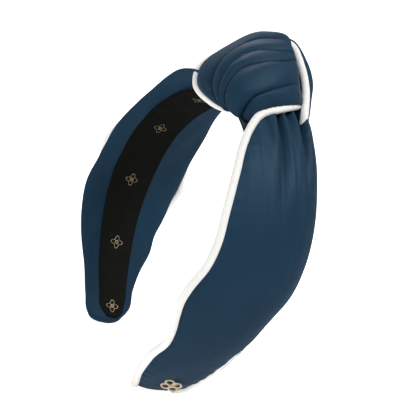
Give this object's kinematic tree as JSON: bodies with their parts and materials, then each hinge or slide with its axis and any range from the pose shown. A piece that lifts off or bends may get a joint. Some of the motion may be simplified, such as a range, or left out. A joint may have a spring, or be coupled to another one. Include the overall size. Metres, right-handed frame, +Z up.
{
  "type": "knotted headband",
  "caption": "Wide padded fabric headband on a springy hoop, with a tied pleated knot at the crown, contrast piping, ribbon lining and a small metal ornament near one tip.",
  "frame": {"origin": "centre of the crown arc, on the axis of the ribbon's inner face, where the head is", "axes": "+Z up through the crown, +X to the wearer's left, +Y to the back of the head"},
  "size_m": [0.1424, 0.0581, 0.1689],
  "materials": {
    "cover_fabric": "smooth navy stretch knit with a soft sheen",
    "piping": "warm white woven piping",
    "ribbon": "black ribbed ribbon with a small repeated gold foil blossom",
    "foam": "soft open foam",
    "hoop_plastic": "matte springy plastic",
    "charm_metal": "polished pale gold plating"
  },
  "bodies": {
    "crown": {"hoop_core": "hoop_plastic", "lining_ribbon": "ribbon", "crown_inner_panel": "cover_fabric", "knot_core": "cover_fabric", "knot_wrap": "cover_fabric", "knot_wrap_near_piping": "piping", "knot_wrap_far_piping": "piping", "knot_back_strip": "cover_fabric", "knot_back_strip_piping": "piping"},
    "left_arm": {"left_outer_panel": "cover_fabric", "left_inner_panel": "cover_fabric", "left_foam_pad": "foam", "left_front_piping": "piping", "left_back_piping": "piping", "charm": "charm_metal", "charm_backing_plate": "charm_metal"},
    "right_arm": {"right_outer_panel": "cover_fabric", "right_inner_panel": "cover_fabric", "right_foam_pad": "foam", "right_front_piping": "piping", "right_back_piping": "piping"}
  },
  "joints": [
    {"name": "left_arm_flex", "type": "hinge", "parent": "crown", "child": "left_arm", "pos_m": [0.02506, 0, 0.06279], "axis": [0, -1, 0], "range_deg": [0, 10], "stiffness_Nm_per_rad": 2.2, "deforming": ["hoop_core", "lining_ribbon"]},
    {"name": "right_arm_flex", "type": "hinge", "parent": "crown", "child": "right_arm", "pos_m": [-0.03355, 0, 0.05869], "axis": [0, 1, 0], "range_deg": [0, 10], "stiffness_Nm_per_rad": 2.2, "deforming": ["hoop_core", "lining_ribbon"]}
  ]
}
